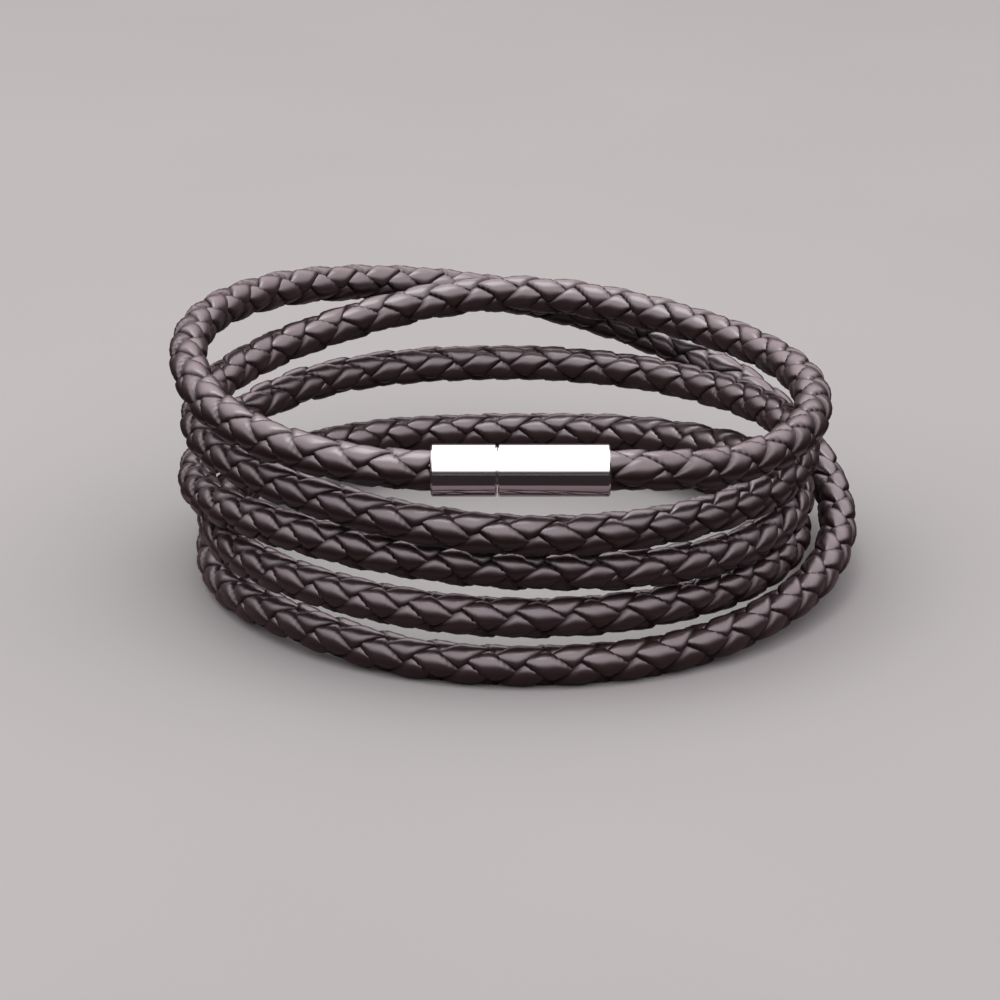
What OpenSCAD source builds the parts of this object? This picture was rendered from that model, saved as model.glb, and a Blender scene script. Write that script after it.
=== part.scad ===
// Layered braided leather bracelet: one round plaited cord, wound five times round the wrist
// and closed in front by a two-part tube clasp. It stands on a table as a loose coil.
// Millimetres, +Z up, clasp towards -Y. The origin is under the middle of the whole bracelet.

/* [Cord] */
// Diameter of the cord over its plaits
cord_d = 4; // [3.6:0.1:4.1]
// Length of cord in which one lace goes once round it
braid_pitch = 15.8; // [14:0.2:20]
// Depth of the grooves between the plaits
groove_depth = 0.3; // [0.05:0.05:0.5]
// Gap between the end of the cord and the bottom of its socket
end_gap = 0.2; // [0.1:0.1:0.5]

/* [Clasp] */
// Outside diameter of the clasp
clasp_d = 4.9; // [4.8:0.1:5.6]
// Length of the short half
short_l = 6.1; // [5.9:0.1:6.6]
// Length of the long half
long_l = 10.4; // [9.8:0.1:11]
// Place of the seam between the halves, to the right of the bracelet's front
seam_x = -1.1; // [-1.6:0.1:-0.6]
// Distance from the coil's axis to the clasp's axis
clasp_reach = 29; // [28.5:0.5:30]
// Height of the clasp's axis above the table
clasp_z = 20.8; // [20.5:0.1:21.5]
// Groove between the two halves
seam_gap = 0.1; // [0.05:0.05:0.2]
// Bevel on the clasp's outer edges
edge_bevel = 0.15; // [0.05:0.05:0.25]
// Diameter of the sockets that the cord is glued into
socket_d = 4.2; // [4.2:0.1:4.4]
// Depth of the cord's socket in the short half
short_socket = 4; // [3:0.5:4]
// Depth of the cord's socket in the long half
long_socket = 7; // [5:0.5:7]

/* [Magnet] */
// Diameter of the magnet that joins the two halves
magnet_d = 2.8; // [2:0.1:3.2]
// How deep the magnet sits in the short half
magnet_in_short = 1.5; // [1:0.1:1.6]
// How deep the magnet sits in the long half
magnet_in_long = 2.5; // [1:0.1:2.8]
// Gap round the magnet
magnet_gap = 0.05; // [0.05:0.05:0.1]

/* [Hidden] */
$fn = 96;

// Each wrap has eight stations, 45 degrees apart, and starts in front. The columns of both
// tables are: front, front right, right, back right, back, back left, left, front left.
// Distance of the cord's middle from the coil's axis
reach = [
    [clasp_reach, 31, 30.5, 30.5, 30, 30, 31, 31],  // first wrap, from the clasp
    [30.5, 29.5, 29.5, 29.5, 30.5, 31.5, 31.5, 31], // second wrap
    [29, 29.5, 29, 28.5, 28, 28, 29.5, 30.5],       // third wrap
    [30, 29, 29, 31, 32, 32.5, 30, 29.5],           // fourth wrap
    [30.5, 32, 33.5, 34, 34.5, 33.5, 32, 32]        // fifth wrap, back to the clasp
];
// Height of the cord's middle above the table
height = [
    [clasp_z, 19, 18.5, 18.5, 20, 18, 17, 17],      // first wrap, from the clasp
    [15, 14, 13.5, 12.5, 12, 12, 10.5, 12.5],       // second wrap
    [11, 9.5, 9, 6.5, 5, 6, 6.5, 7.5],              // third wrap
    [6.5, 5.5, 4.5, 1.5, 2.5, 4, 1.5, 2.5],         // fourth wrap
    [1.5, 2.5, 5.5, 12.5, 18.5, 22.5, 23.5, 21.5]   // fifth wrap, climbing to the clasp
];
// Straight cord outside each mouth of the clasp, before it starts to bend
straight_out = 0.3;
// Degrees of coil between two points where its length is measured
measure_step = 3;
// Laces in the plait: three climb one way round the cord and three the other
laces = 6;
// Sides of the cord: one along each row of plaits and one along each seam between rows
sides = 2 * laces;

// Height of the cord's middle where it lies on the table, on a seam between two rows
rest_z = cord_d / 2 - groove_depth / 2;
step = 360 / len(reach[0]);
full_turn = 360 * len(reach);
short_end = seam_x - seam_gap / 2 - short_l;
long_end = seam_x + seam_gap / 2 + long_l;

// Stations in one line, from clasp to clasp, and the same seen from the other end
reach_line = [for (row = reach) each row, clasp_reach];
height_line = [for (row = height) each row, clasp_z];
last = len(reach_line) - 1;
reach_back = [for (i = [last : -1 : 0]) reach_line[i]];
height_back = [for (i = [last : -1 : 0]) height_line[i]];

// Smooth curve through the stations: v is a line of them, u counts stations
function through(v, u) =
    let (
        i = min(floor(u), last - 1),
        f = u - i,
        a = v[max(i - 1, 0)],
        b = v[i],
        c = v[i + 1],
        d = v[min(i + 2, last)]
    )
    b + f * (c - a) / 2 + f * f * (a - 2.5 * b + 2 * c - d / 2) + f * f * f * (1.5 * b - a / 2 - 1.5 * c + d / 2);

// Curve from one value and slope to another, for f from 0 to 1
function join(f, from, from_slope, to, to_slope) =
    let (g = f * f * (3 - 2 * f))
    from * (1 - g) + to * g + f * (1 - f) * ((1 - f) * from_slope - f * to_slope);

// Reach and height at an angle d from the clasp's side: straight out of it, then into the coil
function near_clasp(d, r, z, mouth) =
    let (
        bend_start = atan((mouth + straight_out) / clasp_reach),
        span = step - bend_start,
        f = (d - bend_start) / span,
        start = clasp_reach / cos(bend_start),
        start_slope = start * tan(bend_start) * span * PI / 180,
        end_share = span / step / 2
    )
    d < bend_start
        ? [clasp_reach / cos(d), clasp_z]
        : [join(f, start, start_slope, r[1], (r[2] - r[0]) * end_share),
           join(f, clasp_z, 0, z[1], (z[2] - z[0]) * end_share)];

// Reach and height anywhere, t in degrees along the coil
function polar(t) =
    t < step ? near_clasp(t, reach_line, height_line, long_end)
    : t > full_turn - step ? near_clasp(full_turn - t, reach_back, height_back, -short_end)
    : [through(reach_line, t / step), max(through(height_line, t / step), rest_z)];

// Point on the cord's middle, from the coil's axis
function route(t) =
    let (p = polar(t))
    [p[0] * sin(t), -p[0] * cos(t), p[1]];

// The cord's ends inside the two sockets
cord_from = atan((long_end - long_socket + end_gap) / clasp_reach);
cord_to = full_turn + atan((short_end + short_socket - end_gap) / clasp_reach);

// Length along the cord, measured from its first end
marks = [for (t = [cord_from : measure_step : cord_to]) t, cord_to];
gaps = [for (i = [1 : len(marks) - 1]) norm(route(marks[i]) - route(marks[i - 1]))];
lengths = [for (i = 0, sum = 0; i < len(marks); sum = sum + (i < len(gaps) ? gaps[i] : 0), i = i + 1) sum];
length_to_turn = [for (i = [0 : len(marks) - 1]) [lengths[i], marks[i]]];
cord_l = lengths[len(lengths) - 1];

// A ring at each crossing of the laces, six in a pitch
ring_count = round(cord_l / (braid_pitch / laces));
ring_turns = [for (i = [0 : ring_count]) lookup(cord_l * i / ring_count, length_to_turn)];

// Middle of the whole bracelet in plan
ring_x = [for (t = ring_turns) route(t)[0]];
ring_y = [for (t = ring_turns) route(t)[1]];
coil_mid = [(max(ring_x) + min(ring_x)) / 2, (max(ring_y) + min(ring_y)) / 2, 0];

function unit(v) = v / norm(v);

// Radius of side j on ring i: a row stands out at every second crossing
function side_r(i, j) =
    let (seam = j % 2 == 1, raised = (i + j / 2) % 2 == 0)
    cord_d / 2 - groove_depth * (seam ? 0.5 : raised ? 0 : 1);

// Points round the cord at ring i, the first one facing outwards and the others upwards from it
function ring(i) =
    let (
        t = ring_turns[i],
        along = unit(route(min(t + 1, cord_to)) - route(max(t - 1, cord_from))),
        side = [sin(t), -cos(t), 0],
        out = unit(side - (side * along) * along),
        up = cross(out, along)
    )
    [for (j = [0 : sides - 1])
        let (a = 360 * j / sides)
        route(t) + side_r(i, j) * (out * cos(a) + up * sin(a))];

// The two triangles between rings i and i + 1: their shared edge is the rim of a plait
function facets(i, j) =
    let (
        k = (j + 1) % sides,
        a = i * sides + j,
        b = i * sides + k,
        c = a + sides,
        d = b + sides,
        row = j % 2 == 0 ? j : k,
        raised = (i + row / 2) % 2 == 0
    )
    (raised == (j % 2 == 0)) ? [[a, b, c], [b, d, c]] : [[a, b, d], [a, d, c]];

module cord() {
    points = [for (i = [0 : ring_count]) each ring(i)];
    walls = [for (i = [0 : ring_count - 1], j = [0 : sides - 1]) each facets(i, j)];
    first_end = [for (j = [sides - 1 : -1 : 0]) j];
    last_end = [for (j = [0 : sides - 1]) ring_count * sides + j];
    color("#4a3b3a")
        translate(-coil_mid)
            polyhedron(points, concat(walls, [first_end, last_end]));
}

// One half of the clasp, seam at the origin, mouth along +X
module clasp_half(length, socket, magnet_depth) {
    r = clasp_d / 2;
    difference() {
        rotate([0, 90, 0])
            rotate_extrude()
                polygon([
                    [0, 0],
                    [r - edge_bevel, 0],
                    [r, edge_bevel],
                    [r, length - edge_bevel],
                    [r - edge_bevel, length],
                    [0, length]
                ]);
        translate([length - socket, 0, 0])
            rotate([0, 90, 0])
                cylinder(d = socket_d, h = socket + 1);
        translate([-1, 0, 0])
            rotate([0, 90, 0])
                cylinder(d = magnet_d + 2 * magnet_gap, h = 1 + magnet_depth + magnet_gap);
    }
}

// Places a clasp piece on the clasp's axis, x measured from the coil's axis
module on_clasp(x) {
    translate([x, -clasp_reach, clasp_z] - coil_mid)
        children();
}

module clasp_short() {
    color("#d8d8dc")
        on_clasp(seam_x - seam_gap / 2)
            mirror([1, 0, 0])
                clasp_half(short_l, short_socket, magnet_in_short);
}

module clasp_long() {
    color("#d8d8dc")
        on_clasp(seam_x + seam_gap / 2)
            clasp_half(long_l, long_socket, magnet_in_long);
}

module clasp_magnet() {
    color("#8c8c90")
        on_clasp(seam_x - seam_gap / 2 - magnet_in_short)
            rotate([0, 90, 0])
                cylinder(d = magnet_d, h = magnet_in_short + seam_gap + magnet_in_long);
}

cord();
clasp_short();
clasp_long();
clasp_magnet();
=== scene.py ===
import bpy
import numpy as np
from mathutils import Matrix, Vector


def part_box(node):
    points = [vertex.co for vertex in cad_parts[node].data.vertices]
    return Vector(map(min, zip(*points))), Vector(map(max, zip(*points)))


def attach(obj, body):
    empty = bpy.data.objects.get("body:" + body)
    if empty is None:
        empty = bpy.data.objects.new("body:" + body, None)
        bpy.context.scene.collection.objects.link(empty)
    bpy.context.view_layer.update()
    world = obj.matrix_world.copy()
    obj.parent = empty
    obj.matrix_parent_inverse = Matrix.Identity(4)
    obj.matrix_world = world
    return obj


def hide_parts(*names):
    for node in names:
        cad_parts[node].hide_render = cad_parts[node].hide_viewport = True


# Layered braided leather bracelet: six plaited laces wound as one coil, closed by a polished tube clasp.
# Metres, +Z up, clasp towards -Y. Lengths in the dictionaries are millimetres, turned into metres by mm.

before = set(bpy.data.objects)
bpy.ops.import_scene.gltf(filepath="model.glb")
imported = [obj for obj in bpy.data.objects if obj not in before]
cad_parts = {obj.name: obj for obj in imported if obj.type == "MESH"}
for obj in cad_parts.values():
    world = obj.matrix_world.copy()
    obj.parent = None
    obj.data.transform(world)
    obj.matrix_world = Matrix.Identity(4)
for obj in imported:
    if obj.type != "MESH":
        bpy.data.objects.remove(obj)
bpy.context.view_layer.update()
mm = 0.001
scene = bpy.context.scene
print("frame loaded:", sorted(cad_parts))


# Camera
# It stands in front of the clasp and looks down on the coil, with a long lens

cameraLook = {
    "elevation": 20.2,              # degrees above the floor
    "distance": 353,                # from the point that it looks at
    "lens": 124.9,
    "lookAt": (-1.6, -2.0, 7.2),
    "clipNear": 10,
    "clipFar": 20000,
}


def makeCamera(look):
    camera = bpy.data.objects.new("camera", bpy.data.cameras.new("camera"))
    scene.collection.objects.link(camera)
    elevation = np.radians(look["elevation"])
    back = Vector((0, -np.cos(elevation), np.sin(elevation)))
    camera.location = (Vector(look["lookAt"]) + back * look["distance"]) * mm
    camera.rotation_euler = (-back).to_track_quat("-Z", "Y").to_euler()
    camera.data.lens = look["lens"]
    camera.data.clip_start = look["clipNear"] * mm
    camera.data.clip_end = look["clipFar"] * mm
    scene.camera = camera


makeCamera(cameraLook)
print("camera placed")


# Shader helpers

# A socket by its name or by its place, among those that the node's settings leave in use
def usedSocket(sockets, name):
    used = [socket for socket in sockets if not socket.is_unavailable]
    if isinstance(name, int):
        return used[name]
    return next(socket for socket in used if socket.name == name)


def plug(socket, value):
    if isinstance(value, Wire):
        value.bench.tree.links.new(value.socket, socket)
    else:
        socket.default_value = value


# A socket of a node. Sums, differences and products of wires add Math nodes.
class Wire:
    def __init__(self, bench, socket):
        self.bench = bench
        self.socket = socket

    def maths(self, operation, first, second, clamp=False):
        settings = {"operation": operation, "use_clamp": clamp}
        return self.bench.node("ShaderNodeMath", settings, {0: first, 1: second})

    def __add__(self, other):
        return self.maths("ADD", self, other)

    def __sub__(self, other):
        return self.maths("SUBTRACT", self, other)

    def __rsub__(self, other):
        return self.maths("SUBTRACT", other, self)

    def __mul__(self, other):
        return self.maths("MULTIPLY", self, other)

    __radd__ = __add__
    __rmul__ = __mul__

    def clamped(self):
        return self.maths("ADD", self, 0.0, clamp=True)


# The node tree of one material or of the world
class Bench:
    def __init__(self, owner):
        owner.use_nodes = True
        self.tree = owner.node_tree
        self.tree.nodes.clear()

    def node(self, kind, settings, inputs, output=0):
        made = self.tree.nodes.new(kind)
        for name, value in settings.items():
            setattr(made, name, value)
        for name, value in inputs.items():
            plug(usedSocket(made.inputs, name), value)
        if len(made.outputs):
            return Wire(self, usedSocket(made.outputs, output))

    def blend(self, share, first, second):
        inputs = {"Factor": share, "A": first, "B": second}
        return self.node("ShaderNodeMix", {"data_type": "RGBA"}, inputs)

    def noise(self, where, scale, detail, roughness):
        inputs = {"Vector": where, "Scale": scale, "Detail": detail, "Roughness": roughness}
        return self.node("ShaderNodeTexNoise", {}, inputs, "Fac")

    def stretched(self, where, scale):
        return self.node("ShaderNodeVectorMath", {"operation": "MULTIPLY"}, {0: where, 1: scale})

    def bump(self, strength, depth, relief):
        inputs = {"Strength": strength, "Distance": depth * mm, "Height": relief}
        return self.node("ShaderNodeBump", {}, inputs)


def newMaterial(name):
    material = bpy.data.materials.new(name)
    return material, Bench(material)


def principled(bench, inputs):
    return bench.node("ShaderNodeBsdfPrincipled", {}, inputs)


def surface(bench, shader):
    bench.node("ShaderNodeOutputMaterial", {}, {"Surface": shader})


# Route of the cord
# The stations are the source's own: eight to a wrap, 45 degrees apart, first one in front.
# Columns: front, front right, right, back right, back, back left, left, front left.

coil = {
    "claspReach": 29,               # from the coil's axis to the clasp's axis
    "claspHeight": 20.8,
    "shortEnd": -7.25,              # mouths of the clasp, to the right of the coil's front
    "longEnd": 9.35,
    "shortSocket": 4,
    "longSocket": 7,
    "endGap": 0.2,                  # between an end of the cord and the bottom of its socket
    "straightOut": 0.3,             # how far the cord runs straight on from a mouth
    "restHeight": 1.85,             # of the cord's middle, at the least
    "points": 7201,                 # along the whole cord
}
reach = np.array([
    [29, 31, 30.5, 30.5, 30, 30, 31, 31],
    [30.5, 29.5, 29.5, 29.5, 30.5, 31.5, 31.5, 31],
    [29, 29.5, 29, 28.5, 28, 28, 29.5, 30.5],
    [30, 29, 29, 31, 32, 32.5, 30, 29.5],
    [30.5, 32, 33.5, 34, 34.5, 33.5, 32, 32],
])
height = np.array([
    [20.8, 19, 18.5, 18.5, 20, 18, 17, 17],
    [15, 14, 13.5, 12.5, 12, 12, 10.5, 12.5],
    [11, 9.5, 9, 6.5, 5, 6, 6.5, 7.5],
    [6.5, 5.5, 4.5, 1.5, 2.5, 4, 1.5, 2.5],
    [1.5, 2.5, 5.5, 12.5, 18.5, 22.5, 23.5, 21.5],
])
# Degrees from outwards to upwards of a row of plaits that climbs along the cord
roll = np.array([
    [70, 70, 85, 105, 128, 150, 150, 136],
    [132, 129, 105, 92, 103, 122, 140, 156],
    [160, 195, 240, 262, 285, 282, 272, 264],
    [269, 272, 272, 270, 264, 256, 250, 250],
    [254, 275, 290, 290, 292, 302, 280, 258],
])
# How far the plait is slid back along the cord
slide = np.array([
    [-1.2, -1.2, -0.8, -0.3, -0.1, -0.9, -0.7, -0.3],
    [-0.1, 0.3, 0.8, 1.4, 0.4, 0.0, 0.4, 1.1],
    [2.8, 4.2, 5.0, 5.2, 5.1, 5.2, 5.0, 5.0],
    [6.6, 6.8, 7.0, 7.2, 7.4, 7.7, 8.1, 8.5],
    [8.8, 9.3, 9.7, 10.0, 10.3, 10.5, 10.2, 9.8],
])
stationStep = 360 / reach.shape[1]
fullTurn = 360 * reach.shape[0]
reachLine = np.append(reach, coil["claspReach"])
heightLine = np.append(height, coil["claspHeight"])
rollLine = np.append(roll, roll[-1, -1])
slideLine = np.append(slide, slide[-1, -1])


# Smooth curve through the stations, u counts stations
def through(stations, u):
    last = len(stations) - 1
    i = np.clip(np.floor(u).astype(int), 0, last - 1)
    f = u - i
    a, b, c, d = (stations[np.clip(i + k, 0, last)] for k in (-1, 0, 1, 2))
    bend = a - 2.5 * b + 2 * c - d / 2
    turn = 1.5 * b - a / 2 - 1.5 * c + d / 2
    return b + f * (c - a) / 2 + f ** 2 * bend + f ** 3 * turn


# Curve from one value and slope to another, for f from 0 to 1
def joined(f, start, startSlope, end, endSlope):
    g = f * f * (3 - 2 * f)
    return start * (1 - g) + end * g + f * (1 - f) * ((1 - f) * startSlope - f * endSlope)


# Reach and height at an angle from the clasp's side: straight out of it, then into the coil
def nearClasp(angle, reaches, heights, mouth):
    bendStart = np.degrees(np.arctan((mouth + coil["straightOut"]) / coil["claspReach"]))
    span = stationStep - bendStart
    f = np.clip((angle - bendStart) / span, 0, 1)
    start = coil["claspReach"] / np.cos(np.radians(bendStart))
    startSlope = start * np.tan(np.radians(bendStart)) * np.radians(span)
    endShare = span / stationStep / 2
    outer = joined(f, start, startSlope, reaches[1], (reaches[2] - reaches[0]) * endShare)
    level = joined(f, coil["claspHeight"], 0, heights[1], (heights[2] - heights[0]) * endShare)
    inside = angle < bendStart
    straight = coil["claspReach"] / np.cos(np.radians(np.minimum(angle, bendStart)))
    return np.where(inside, straight, outer), np.where(inside, coil["claspHeight"], level)


# Points on the cord's middle, t in degrees along the coil from the clasp
def coilPoints(t):
    r = through(reachLine, t / stationStep)
    z = np.maximum(through(heightLine, t / stationStep), coil["restHeight"])
    fromLongHalf = (t, slice(None), coil["longEnd"])
    fromShortHalf = (fullTurn - t, slice(None, None, -1), -coil["shortEnd"])
    for angle, order, mouth in (fromLongHalf, fromShortHalf):
        near = angle < stationStep
        rNear, zNear = nearClasp(angle, reachLine[order], heightLine[order], mouth)
        r = np.where(near, rNear, r)
        z = np.where(near, zNear, z)
    turn = np.radians(t)
    return np.stack([r * np.sin(turn), -r * np.cos(turn), z], axis=-1)


def unit(v):
    return v / np.linalg.norm(v, axis=-1, keepdims=True)


# The cord's line as a table that laces are laid along: place, outward and upward direction by length,
# and how far the plait is rolled about the cord and slid along it there
def cordLine():
    startX = coil["longEnd"] - coil["longSocket"] + coil["endGap"]
    endX = coil["shortEnd"] + coil["shortSocket"] - coil["endGap"]
    start = np.degrees(np.arctan(startX / coil["claspReach"]))
    end = fullTurn + np.degrees(np.arctan(endX / coil["claspReach"]))
    t = np.linspace(start, end, coil["points"])
    points = coilPoints(t)
    forward = unit(np.gradient(points, axis=0))
    turn = np.radians(t)
    side = np.stack([np.sin(turn), -np.cos(turn), np.zeros_like(turn)], axis=-1)
    out = unit(side - np.sum(side * forward, axis=1, keepdims=True) * forward)
    # The coil's axis isn't at the origin, and the clasp shows where it is
    claspLow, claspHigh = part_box("clasp_long")
    middleX = coil["longEnd"] - claspHigh.x / mm
    middleY = -coil["claspReach"] - (claspLow.y + claspHigh.y) / 2 / mm
    return {
        "length": np.append(0, np.cumsum(np.linalg.norm(np.diff(points, axis=0), axis=1))),
        "point": points - np.array([middleX, middleY, 0]),
        "out": out,
        "up": np.cross(out, forward),
        "roll": np.radians(through(rollLine, t / stationStep))[:, None],
        "slide": through(slideLine, t / stationStep)[:, None],
    }


line = cordLine()
cordLength = line["length"][-1]
print("cord:", round(cordLength * mm, 3), "m")


# A column of that table at the lengths s
def along(name, s):
    return np.stack([np.interp(s, line["length"], column) for column in line[name].T], axis=-1)


# Laces
# Six leather laces plaited round: three climb one way, three the other, over one and under one.

lace = {
    "ways": 3,                      # laces that climb the same way
    "pitch": 15.8,                  # length of cord in which a lace goes once round
    "width": 3.25,
    "thick": 1.05,
    "outside": 2.0,                 # from the cord's middle to the top of a plait
    "weave": 0.64,                  # half of how far a lace dives under the next
    "steep": 2.8,                   # more makes it stay out longer and dive quicker
    "flat": -0.35,                  # 1 is a flat ribbon, 0 the cord's round, less than 0 rounder still
    "sway": 0.1,                    # how much less it climbs on top, and more while it is under
    "thinning": 0.3,                # share of its thickness that its shoulders lose where it is under
    "widthDrift": (0.02, 23),       # uneven work: how much, here a share of the width, and over what length
    "sideDrift": (0.04, 17),        # to its side
    "levelDrift": (0.05, 31),       # in and out, as a share of weave
    "driftWaves": (0.6, 1.1, 1.6, 2.1),     # their lengths, as shares of a drift's
    "driftSum": 2.5,                # brings the waves together to about 1
    "stepsInPitch": 58,
    "fleshBelow": 0.1,              # level in the section under which it is cut leather, not smooth skin; matt, and dark there as painted shade of the slots
    "shadeFrom": 0.05,              # how far under, from 0 to 1, painted shade starts to make its skin dark and matt
    "shadeFade": 0.17,
}
# Half of a lace's section, from the middle of the top round the cut side to the middle underneath.
# Columns: place across, 1 at the side; height, 0.5 on top and -0.5 underneath.
laceSection = np.array([
    [0.00, 0.50],
    [0.33, 0.467],
    [0.62, 0.40],
    [0.80, 0.32],
    [0.90, 0.25],
    [0.96, 0.16],
    [1.00, 0.02],
    [1.00, -0.22],
    [0.94, -0.32],
    [0.60, -0.44],
    [0.00, -0.50],
])


# The whole section as a loop: over the top from one side to the other and back underneath
def laceOutline():
    otherSide = laceSection[1:-1] * (-1, 1)
    loop = np.concatenate([otherSide[::-1], laceSection])
    return loop[:, 0], loop[:, 1]


# Slow waves along a lace, of lengths that don't fit one another
def wobble(s, seed, drift):
    amount, period = drift
    rng = np.random.RandomState(seed)
    waves = [(period * share, rng.uniform(0, 2 * np.pi)) for share in lace["driftWaves"]]
    total = sum(np.sin(2 * np.pi * s / p + phase) for p, phase in waves)
    return amount * (total / lace["driftSum"])


# One lace: way is 1 where it climbs along the cord and -1 where it falls, number is its place among
# the laces that go its way
def buildLace(name, way, number, seed):
    ways = lace["ways"]
    crossings = round(cordLength / (lace["pitch"] / ways / 2))
    pitch = 2 * ways * cordLength / crossings
    middle = lace["outside"] - lace["thick"] / 2
    meanSlant = np.arctan(2 * np.pi * middle / pitch)
    hidden = lace["width"] / 2 * np.sin(meanSlant)
    steps = round(cordLength / pitch * lace["stepsInPitch"])
    s = np.linspace(hidden, cordLength - hidden, steps)[:, None]
    across, level = laceOutline()
    width = lace["width"] * (1 + wobble(s, seed + 10, lace["widthDrift"]))
    v = across * width / 2 + wobble(s, seed + 20, lace["sideDrift"])
    # Its own line round the cord
    weaving = 2 * np.pi * ways / pitch
    slid = s + along("slide", s)[..., 0]
    slant = np.arctan(np.tan(meanSlant) * (1 - way * lace["sway"] * np.cos(weaving * slid)))
    climb = 2 * np.pi * slid / pitch - way * lace["sway"] * np.sin(weaving * slid) / ways
    turn = along("roll", s)[..., 0] + way * climb + number * 2 * np.pi / ways
    # It dives along the edge of the lace that crosses it
    edge = slid + way * v * np.cos(2 * meanSlant) / (2 * np.sin(meanSlant))
    wave = np.tanh(lace["steep"] * way * np.cos(weaving * edge)) + wobble(s, seed, lace["levelDrift"])
    # Its shoulders are thinner where they are pressed under
    pressed = np.clip((1 - wave) / 2, 0, 1)
    h = lace["thick"] * level * (1 - lace["thinning"] * pressed * across ** 2)
    # It bends round the cord, more or less than the cord's own round
    bend = v * np.cos(slant) / middle
    flat = lace["flat"]
    outward = (middle + h) * (flat + (1 - flat) * np.cos(bend)) - lace["weave"] * (1 - wave)
    aside = flat * middle * bend + (1 - flat) * (middle + h) * np.sin(bend)
    x = outward * np.cos(turn) - aside * np.sin(turn)
    y = outward * np.sin(turn) + aside * np.cos(turn)
    place = np.broadcast_to(s - way * v * np.sin(slant), x.shape)
    points = along("point", place) + x[..., None] * along("out", place) + y[..., None] * along("up", place)
    # Nothing sinks into the floor
    points[..., 2] = np.maximum(points[..., 2], 0.0)
    # Matt where it is cut, like cut leather, and dark there as painted shade of the slots; matt and dark as
    # painted shade where it goes under
    cutAndShade = (level < lace["fleshBelow"]) * 1.0
    # Painted shade: where it dives under the next lace it turns matt and nearly black
    shadeUnder = np.clip((pressed - lace["shadeFrom"]) / lace["shadeFade"], 0, 1)
    return meshFromRings(name, points * mm, s[:, 0], across, level, np.maximum(cutAndShade, shadeUnder))


# A closed skin over rings of points, with the length and the place across as its UV, and with a mask on its
# points:
# 0 for smooth skin, 1 for matt cut leather and for painted shade where it dives
def meshFromRings(name, points, s, across, level, fleshAndShade):
    n, m = points.shape[:2]
    i, j = np.meshgrid(np.arange(n - 1), np.arange(m), indexing="ij")
    k = (j + 1) % m
    quads = np.stack([i * m + j, (i + 1) * m + j, (i + 1) * m + k, i * m + k], axis=-1).reshape(-1, 4)
    ends = [np.arange(m), np.arange(m)[::-1] + (n - 1) * m]
    mesh = bpy.data.meshes.new(name)
    mesh.vertices.add(n * m)
    mesh.vertices.foreach_set("co", points.astype(np.float32).ravel())
    loops = np.concatenate([quads.ravel(), *ends])
    starts = np.append(np.arange(len(quads)) * 4, [len(quads) * 4, len(quads) * 4 + m])
    mesh.loops.add(len(loops))
    mesh.polygons.add(len(starts))
    mesh.loops.foreach_set("vertex_index", loops)
    mesh.polygons.foreach_set("loop_start", starts)
    mesh.polygons.foreach_set("use_smooth", np.append(np.ones(len(quads), bool), [False, False]))
    mesh.update(calc_edges=True)
    mesh.validate()
    uv = mesh.uv_layers.new(name="lace")
    around = np.where(level > 0, across, 2 - across)
    u = np.repeat(s, m)[loops]
    w = np.tile(around, n)[loops]
    uv.data.foreach_set("uv", np.stack([u, w], axis=-1).astype(np.float32).ravel())
    fleshAndShadeLayer = mesh.attributes.new("fleshAndShade", "FLOAT", "POINT")
    fleshAndShadeLayer.data.foreach_set("value", fleshAndShade.astype(np.float32).ravel())
    made = bpy.data.objects.new(name, mesh)
    scene.collection.objects.link(made)
    return made


# Very dark brown satin leather. Its cut sides and underside are matt like cut leather, and nearly black
# there as painted shade of the slots;
# where a lace dives under another it is painted shade, matt and nearly black. A noise is its scale, detail
# and roughness.

leather = {
    "hide": (0.0085, 0.0024, 0.0023, 1),
    "hideDark": (0.0044, 0.0012, 0.0012, 1),
    # Colours of the matt cut sides and of the painted shade where a lace dives under another
    "fleshAndShade": (0.0050, 0.0024, 0.0023, 1),
    "fleshAndShadeDark": (0.0025, 0.0013, 0.0013, 1),
    "roughness": 0.34,              # at the least
    "roughFibre": 0.1,
    "roughGrain": 0.06,
    "refraction": 1.4,
    "fleshAndShadeRoughness": 0.75,
    "fleshAndShadeShine": 0.03,
    "coat": 0.8,
    "coatRoughness": 0.27,
    "fibreStretch": (1.2, 9, 1),    # along the lace, across it
    "fibre": (1.0, 4, 0.6),
    "grain": (5200, 2, 0.55),
    "patch": (160, 2, 0.5),
    "tonePatch": 0.7,               # shares of the noises in the tone between hideDark and hide
    "toneFibre": 0.3,
    "toneFrom": 0.3,
    "toneContrast": 2.2,
    "reliefFibre": 0.6,
    "reliefGrain": 0.4,
    "bump": 0.3,
    "bumpDepth": 0.05,
}


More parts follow.
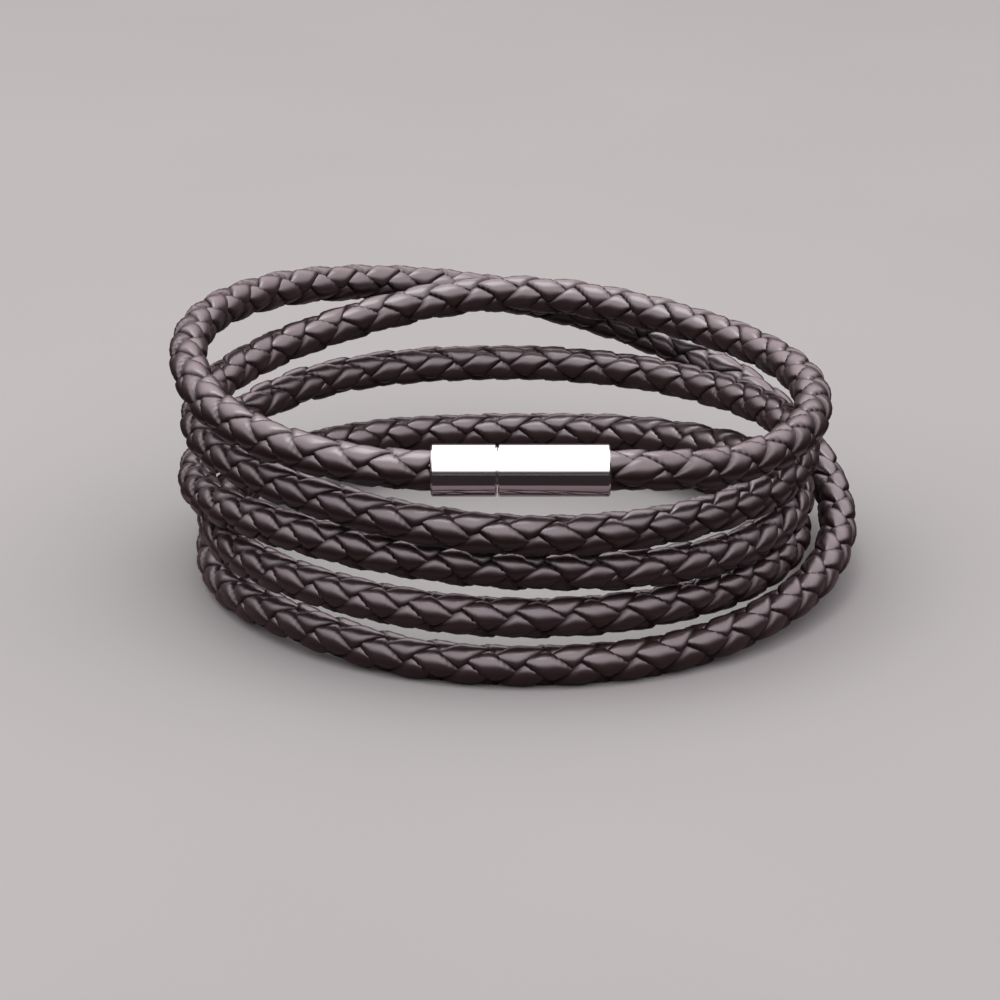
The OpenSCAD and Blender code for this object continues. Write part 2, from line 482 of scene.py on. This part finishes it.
def leatherMaterial():
    material, bench = newMaterial("leather")
    uv = bench.node("ShaderNodeUVMap", {"uv_map": "lace"}, {})
    here = bench.node("ShaderNodeTexCoord", {}, {}, "Object")
    fleshAndShade = bench.node("ShaderNodeAttribute", {"attribute_name": "fleshAndShade"}, {}, "Fac")
    fibre = bench.noise(bench.stretched(uv, leather["fibreStretch"]), *leather["fibre"])
    grain = bench.noise(here, *leather["grain"])
    patch = bench.noise(here, *leather["patch"])
    mixed = patch * leather["tonePatch"] + fibre * leather["toneFibre"]
    tone = (mixed - leather["toneFrom"]) * leather["toneContrast"]
    relief = fibre * leather["reliefFibre"] + grain * leather["reliefGrain"]
    bump = bench.bump(leather["bump"], leather["bumpDepth"], relief)
    skin = principled(bench, {
        "Base Color": bench.blend(tone.clamped(), leather["hideDark"], leather["hide"]),
        "Roughness": fibre * leather["roughFibre"] + grain * leather["roughGrain"] + leather["roughness"],
        "IOR": leather["refraction"],
        "Coat Weight": leather["coat"],
        "Coat Roughness": leather["coatRoughness"],
        "Normal": bump,
    })
    # Matt, nearly black leather: the cut sides, and painted shade where a lace dives under another
    cutAndShade = principled(bench, {
        "Base Color": bench.blend(fibre, leather["fleshAndShadeDark"], leather["fleshAndShade"]),
        "Roughness": leather["fleshAndShadeRoughness"],
        "Specular IOR Level": leather["fleshAndShadeShine"],
        "Normal": bump,
    })
    surface(bench, bench.node("ShaderNodeMixShader", {}, {0: fleshAndShade, 1: skin, 2: cutAndShade}))
    return material


leatherLook = leatherMaterial()
for count in range(2 * lace["ways"]):
    way = (1, -1)[count % 2]
    made = buildLace(f"lace_{count + 1}", way, number=count // 2, seed=count)
    made.data.materials.append(leatherLook)
    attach(made, "root")
    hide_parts("cord")
print("laces plaited")


# Clasp: polished steel with faint wear, and a plain nickel magnet inside

steel = {
    "metal": (0.80, 0.80, 0.81, 1),
    "metalWorn": (0.70, 0.70, 0.71, 1),
    "roughness": 0.05,              # at the least
    "magnetRoughness": 0.25,
    "roughSmear": 0.05,
    "roughDrawn": 0.04,
    "drawnStretch": (120, 5000, 5000),  # fine lines along the clasp
    "drawn": (1.0, 3, 0.6),
    "smear": (420, 3, 0.6),
    "wearContrast": 1.4,
    "wearFrom": 0.4,
    "bump": 0.05,
    "bumpDepth": 0.01,
    "sharp": 30,                    # degrees between faces that make a crisp edge
}


def steelMaterial(name, roughness):
    material, bench = newMaterial(name)
    here = bench.node("ShaderNodeTexCoord", {}, {}, "Object")
    drawn = bench.noise(bench.stretched(here, steel["drawnStretch"]), *steel["drawn"])
    smear = bench.noise(here, *steel["smear"])
    wear = (smear * steel["wearContrast"] - steel["wearFrom"]).clamped()
    surface(bench, principled(bench, {
        "Base Color": bench.blend(wear, steel["metal"], steel["metalWorn"]),
        "Metallic": 1.0,
        "Roughness": smear * steel["roughSmear"] + drawn * steel["roughDrawn"] + roughness,
        "Normal": bench.bump(steel["bump"], steel["bumpDepth"], drawn),
    }))
    return material


def dress(node, material):
    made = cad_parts[node]
    made.data.materials.clear()
    made.data.materials.append(material)
    made.data.attributes.remove(made.data.attributes["custom_normal"])
    made.data.shade_smooth()
    made.data.set_sharp_from_angle(angle=np.radians(steel["sharp"]))


polished = steelMaterial("polished_steel", steel["roughness"])
for node in ("clasp_short", "clasp_long"):
    dress(node, polished)
dress("clasp_magnet", steelMaterial("magnet_nickel", steel["magnetRoughness"]))
print("clasp dressed")


# Studio: a bright soft sky all round above dark low walls, a pale floor and a soft key light from above

studio = {
    "floorSize": 6000,
    "floor": (0.140, 0.150, 0.141, 1),
    "floorDark": (0.128, 0.137, 0.129, 1),
    "floorNoise": (14, 3, 0.5),
    "mattRoughness": 0.75,
    "backdrop": (0.154, 0.154, 0.154, 1),
    "sky": (1.38, 1.18, 1.28, 1),   # on the camera's side
    "skyBehind": (0.76, 0.63, 0.69, 1),
    "wall": (0.02, 0.017, 0.016, 1),
    "skyFrom": 0.19,                # sine of the angle above the floor where the sky starts
    "skyBlend": 0.40,               # how much further up, by the same sine, the walls have faded out
    "strength": 3.7,
    "flagRadius": 900,
    "flagHeight": 0.1,
    "flagSides": 48,
    "flagNear": (0.066, 0.053, 0.053, 1),
    "flagFar": (0.008, 0.007, 0.007, 1),
    "flagNearRadius": 48,           # the flag is lighter under the bracelet itself
    "flagEdge": 500,                # more makes a crisper edge between near and far
    "keySize": 300,
    "keyPlace": (-60, 40, 420),
    "keyPower": 1.6,
}


def matt(bench, colour):
    surface(bench, principled(bench, {
        "Base Color": colour,
        "Roughness": studio["mattRoughness"],
        "Specular IOR Level": 0.0,
    }))


def floorMaterial():
    material, bench = newMaterial("floor")
    here = bench.node("ShaderNodeTexCoord", {}, {}, "Object")
    cloud = bench.noise(here, *studio["floorNoise"])
    matt(bench, bench.blend(cloud, studio["floorDark"], studio["floor"]))
    return material


def flagMaterial():
    material, bench = newMaterial("flag")
    here = bench.node("ShaderNodeTexCoord", {}, {}, "Object")
    radius = bench.node("ShaderNodeVectorMath", {"operation": "LENGTH"}, {0: here}, "Value")
    far = ((radius - studio["flagNearRadius"] * mm) * studio["flagEdge"]).clamped()
    matt(bench, bench.blend(far, studio["flagNear"], studio["flagFar"]))
    return material


def onStage(name, mesh, material):
    made = bpy.data.objects.new(name, mesh)
    mesh.materials.append(material)
    scene.collection.objects.link(made)
    return made


def makeFloor():
    half = studio["floorSize"] / 2 * mm
    mesh = bpy.data.meshes.new("floor")
    corners = [(-half, -half, 0), (half, -half, 0), (half, half, 0), (-half, half, 0)]
    mesh.from_pydata(corners, [], [(0, 1, 2, 3)])
    onStage("floor", mesh, floorMaterial())


# A dark flag lies under the bracelet. Only reflections see it, so the steel and the undersides of the
# leather are dark below.
def makeFlag():
    turns = np.linspace(0, 2 * np.pi, studio["flagSides"] + 1)[:-1]
    radius = studio["flagRadius"] * mm
    level = np.full_like(turns, studio["flagHeight"] * mm)
    circle = np.stack([radius * np.sin(-turns), radius * np.cos(turns), level], axis=-1)
    mesh = bpy.data.meshes.new("flag")
    mesh.from_pydata(circle.tolist(), [], [list(range(len(turns)))])
    made = onStage("flag", mesh, flagMaterial())
    for sees in ("camera", "diffuse", "transmission", "shadow"):
        setattr(made, f"visible_{sees}", False)


# Reflections and soft light come from the sky and the walls, and the camera sees a plain backdrop
def makeWorld():
    world = bpy.data.worlds.new("studio")
    scene.world = world
    bench = Bench(world)
    direction = bench.node("ShaderNodeTexCoord", {}, {}, "Generated")
    level = bench.node("ShaderNodeSeparateXYZ", {}, {"Vector": direction}, "Z")
    depth = bench.node("ShaderNodeSeparateXYZ", {}, {"Vector": direction}, "Y")
    climb = ((level - studio["skyFrom"]) * (1 / studio["skyBlend"])).clamped()
    # Depth runs from -1 on the camera's side to 1 behind the bracelet
    sky = bench.blend(depth * 0.5 + 0.5, studio["sky"], studio["skyBehind"])
    room = bench.blend(climb, studio["wall"], sky)
    seen = bench.node("ShaderNodeLightPath", {}, {}, "Is Camera Ray")
    colour = bench.blend(seen, room, studio["backdrop"])
    shader = bench.node("ShaderNodeBackground", {}, {"Color": colour, "Strength": studio["strength"]})
    bench.node("ShaderNodeOutputWorld", {}, {"Surface": shader})


def makeKey():
    light = bpy.data.lights.new("key", "AREA")
    light.shape = "SQUARE"
    light.size = studio["keySize"] * mm
    light.energy = studio["keyPower"]
    made = bpy.data.objects.new("key", light)
    made.location = Vector(studio["keyPlace"]) * mm
    made.rotation_euler = made.location.to_track_quat("Z", "Y").to_euler()
    scene.collection.objects.link(made)


makeFloor()
makeFlag()
makeWorld()
makeKey()
scene.view_settings.view_transform = "Standard"
print("studio lit")
